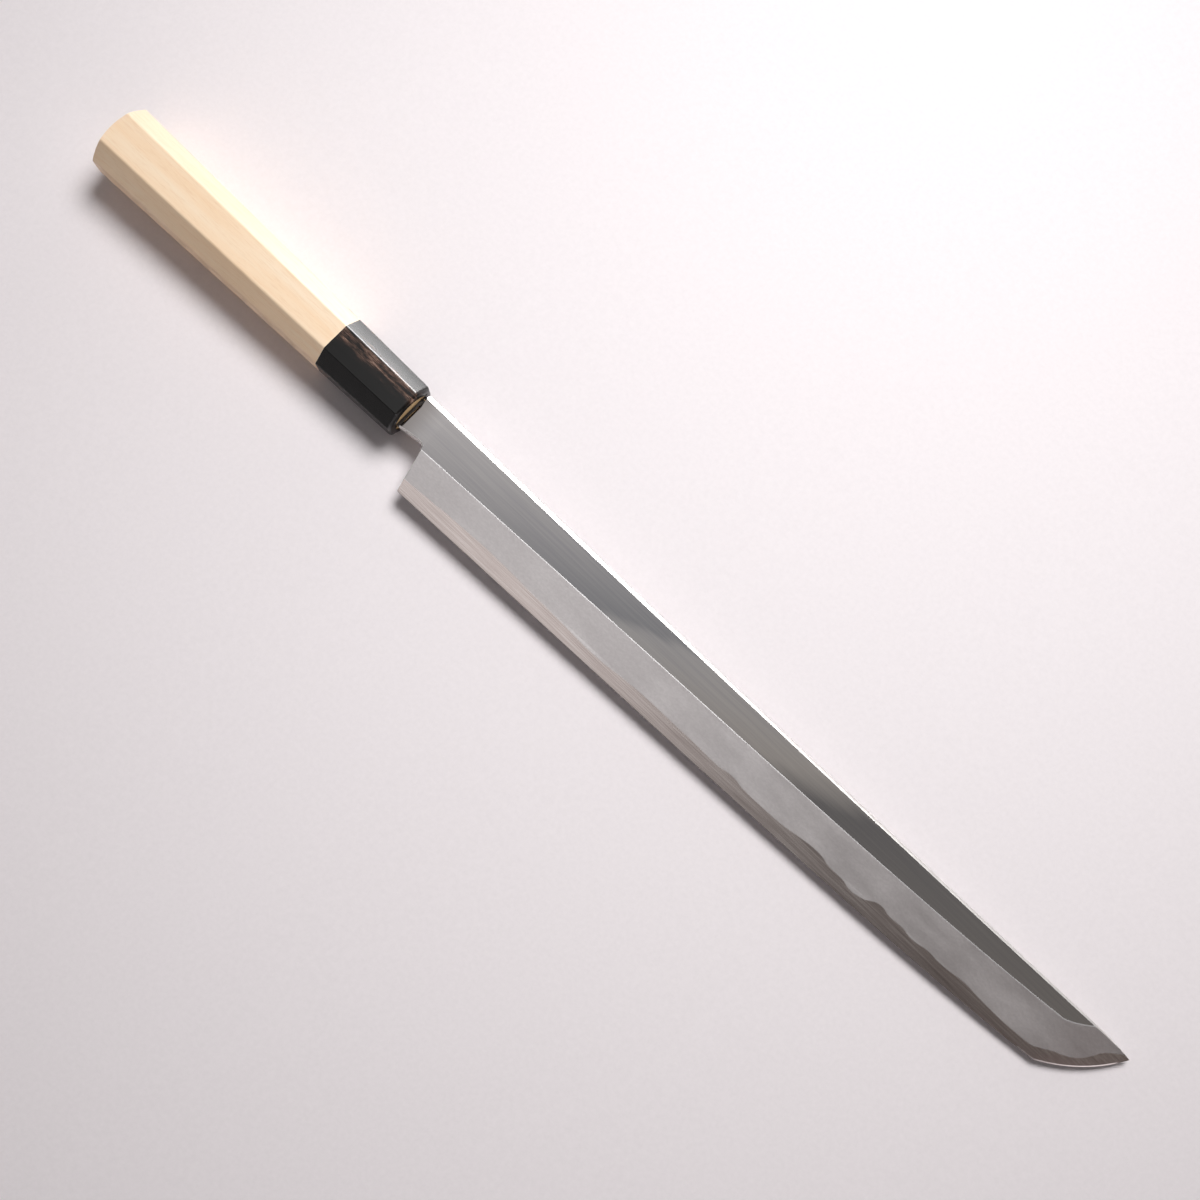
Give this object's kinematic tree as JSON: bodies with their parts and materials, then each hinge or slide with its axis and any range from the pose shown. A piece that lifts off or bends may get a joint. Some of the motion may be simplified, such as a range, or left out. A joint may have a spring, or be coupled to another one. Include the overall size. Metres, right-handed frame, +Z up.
{
  "type": "sakimaru takohiki knife",
  "caption": "Long straight slicing knife with a single bevel, a sword-like tip, a forge-laminated blade, an octagonal wooden grip and a horn ferrule.",
  "frame": {"origin": "middle of the box's underside, with the knife lying on the flat back of its blade side", "axes": "+X from butt to tip, +Y from cutting edge to spine, +Z up out of the bevelled face"},
  "size_m": [0.4814, 0.0366, 0.0241],
  "materials": {
    "magnolia_wood": "sanded, unvarnished",
    "buffalo_horn": "polished",
    "hard_steel": "stone polished",
    "soft_iron": "polished flat, hazy bevel"
  },
  "bodies": {
    "root": {"handle_grip": "magnolia_wood", "horn_ferrule": "buffalo_horn", "edge_steel": "hard_steel", "blade_iron": "soft_iron"}
  },
  "joints": []
}
